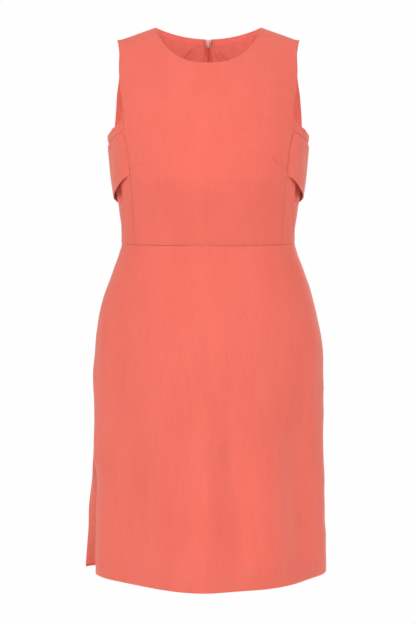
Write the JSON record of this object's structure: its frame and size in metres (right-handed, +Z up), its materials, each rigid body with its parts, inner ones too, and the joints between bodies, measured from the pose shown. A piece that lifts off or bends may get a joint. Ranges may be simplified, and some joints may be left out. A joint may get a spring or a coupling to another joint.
{
  "type": "sleeveless shift dress",
  "caption": "Sleeveless round-neck shift dress in worn shape, with waist seam, loose side-to-back overlays, a side slit and a back zip.",
  "frame": {"origin": "midway between the points where the shoulder seams meet the neckline, where the wearer's shoulders carry the dress", "axes": "+X to the wearer's left, -Y out of the front, +Z up"},
  "size_m": [0.4406, 0.2765, 0.9785],
  "materials": {
    "crepe": "matte coral crepe",
    "facing": "coral facing cloth",
    "zip_tape": "woven coral tape",
    "zip_coil": "moulded nylon coil",
    "zip_enamel": "pale pink enamel on zinc"
  },
  "bodies": {
    "dress": {"front_bodice": "crepe", "side_front_left": "crepe", "side_front_right": "crepe", "back_bodice_left": "crepe", "back_bodice_right": "crepe", "overlay_left": "crepe", "overlay_right": "crepe", "skirt_front": "crepe", "skirt_back_left": "crepe", "skirt_back_right": "crepe", "back_facing_left": "facing", "back_facing_right": "facing", "zip_tape_left": "zip_tape", "zip_tape_right": "zip_tape", "zip_coil": "zip_coil", "zip_slider": "zip_enamel"},
    "pull": {"zip_pull": "zip_enamel"}
  },
  "joints": [
    {"name": "zip_pull_hinge", "type": "hinge", "parent": "dress", "child": "pull", "pos_m": [0, 0.0728, -0.0182], "axis": [1, 0, 0], "range_deg": [0, 150]}
  ]
}
